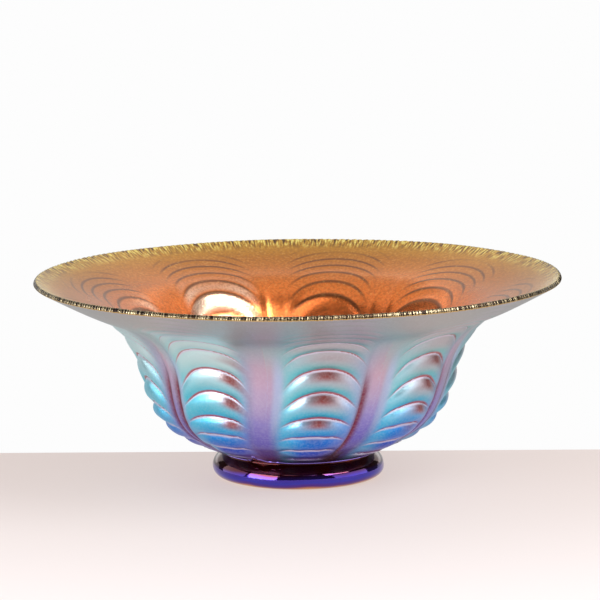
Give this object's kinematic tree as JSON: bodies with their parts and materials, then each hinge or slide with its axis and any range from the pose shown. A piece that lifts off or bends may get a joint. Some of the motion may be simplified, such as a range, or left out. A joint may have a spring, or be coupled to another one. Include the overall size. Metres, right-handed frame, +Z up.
{
  "type": "art glass bowl",
  "caption": "Footed art glass bowl with a wide everted lip, arched relief panels and an iridescent lustre finish, for display or fruit.",
  "frame": {"origin": "on the floor under the middle of the foot, at the bottom centre of the bounding box", "axes": "+Z up along the axis the bowl was turned about; X and Y are level and equivalent, with +X to the right and -Y towards the viewer"},
  "size_m": [0.32, 0.32, 0.1243],
  "materials": {
    "lustred_glass": "iridescent metallic lustre, satin to glossy",
    "foot_glass": "dark amber glass with a glossy violet-blue lustre"
  },
  "bodies": {
    "root": {"bowl_body": "lustred_glass", "foot_ring": "foot_glass"}
  },
  "joints": []
}
